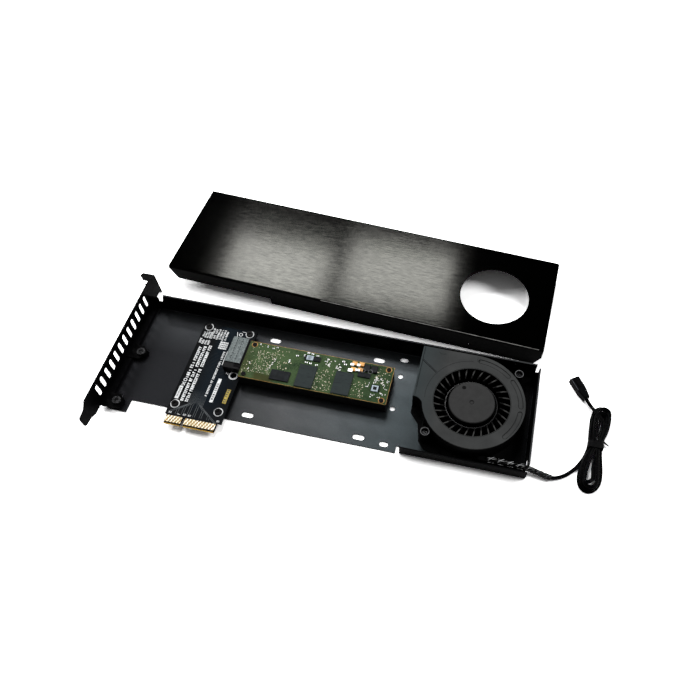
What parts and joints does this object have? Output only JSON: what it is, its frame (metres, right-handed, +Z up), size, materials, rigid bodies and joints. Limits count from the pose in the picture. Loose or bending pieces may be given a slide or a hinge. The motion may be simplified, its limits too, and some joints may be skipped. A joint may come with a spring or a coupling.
{
  "type": "nvme adapter card",
  "caption": "Open slot card: folded tray with bracket, card-edge board carrying a long solid-state drive, a blower with its tied lead, and the folded cover laid behind.",
  "frame": {"origin": "bottom centre of the card and its cover, on the surface they lie on", "axes": "+X along the card from the bracket to the blower, +Y to the rear wall and the cover, +Z up"},
  "size_m": [0.3487, 0.2136, 0.0216],
  "materials": {
    "tray_paint": "satin powder coat",
    "bracket_paint": "satin black",
    "cover_paint": "satin black, brushed under the paint",
    "black_screw": "black zinc",
    "board_mask": "black solder mask",
    "gold": "gold plate",
    "steel": "bright",
    "socket_plastic": "moulded",
    "socket_cap": "moulded",
    "drive_mask": "green solder mask",
    "support": "moulded",
    "chip": "moulded epoxy",
    "capacitor": "ceramic",
    "inductor": "pressed iron powder",
    "housing_plastic": "moulded",
    "lid_plastic": "fine-grained",
    "impeller_plastic": "moulded",
    "magnet": "bonded ferrite",
    "brass": "sintered",
    "core_steel": "laminated",
    "copper": "enamelled wire",
    "spacer_plastic": "moulded",
    "circuit": "solder mask",
    "wire": "glossy insulation",
    "sleeve": "heat-shrink",
    "tie": "coated wire",
    "plug_plastic": "moulded",
    "contact_brass": "tinned"
  },
  "bodies": {
    "card": {"tray": "tray_paint", "io_bracket": "bracket_paint", "bracket_screws": "black_screw", "cover": "cover_paint", "adapter_board": "board_mask", "edge_contacts": "gold", "board_standoffs": "steel", "board_screws": "black_screw", "drive_socket": "socket_plastic", "socket_cap": "socket_cap", "drive_board": "drive_mask", "drive_support": "support", "drive_screws": "black_screw", "controller_chip": "chip", "memory_chips": "chip", "power_chips": "chip", "drive_capacitors": "capacitor", "drive_inductors": "inductor", "blower_housing": "housing_plastic", "blower_lid": "lid_plastic", "blower_screws": "black_screw", "bearing_sleeve": "brass", "stator_core": "core_steel", "stator_coils": "copper", "stator_spacer": "spacer_plastic", "motor_circuit": "circuit", "blower_wires": "wire", "wire_sleeve": "sleeve", "blower_lead": "wire", "lead_hank": "wire", "hank_tie": "tie", "lead_tail": "wire", "lead_plug": "plug_plastic", "plug_contacts": "contact_brass"},
    "rotor": {"impeller": "impeller_plastic", "rotor_magnet": "magnet", "blower_shaft": "steel"}
  },
  "joints": [
    {"name": "impeller_spin", "type": "hinge", "parent": "card", "child": "rotor", "pos_m": [0.10363, -0.03948, 0.009], "axis": [0, 0, 1], "continuous": true}
  ]
}
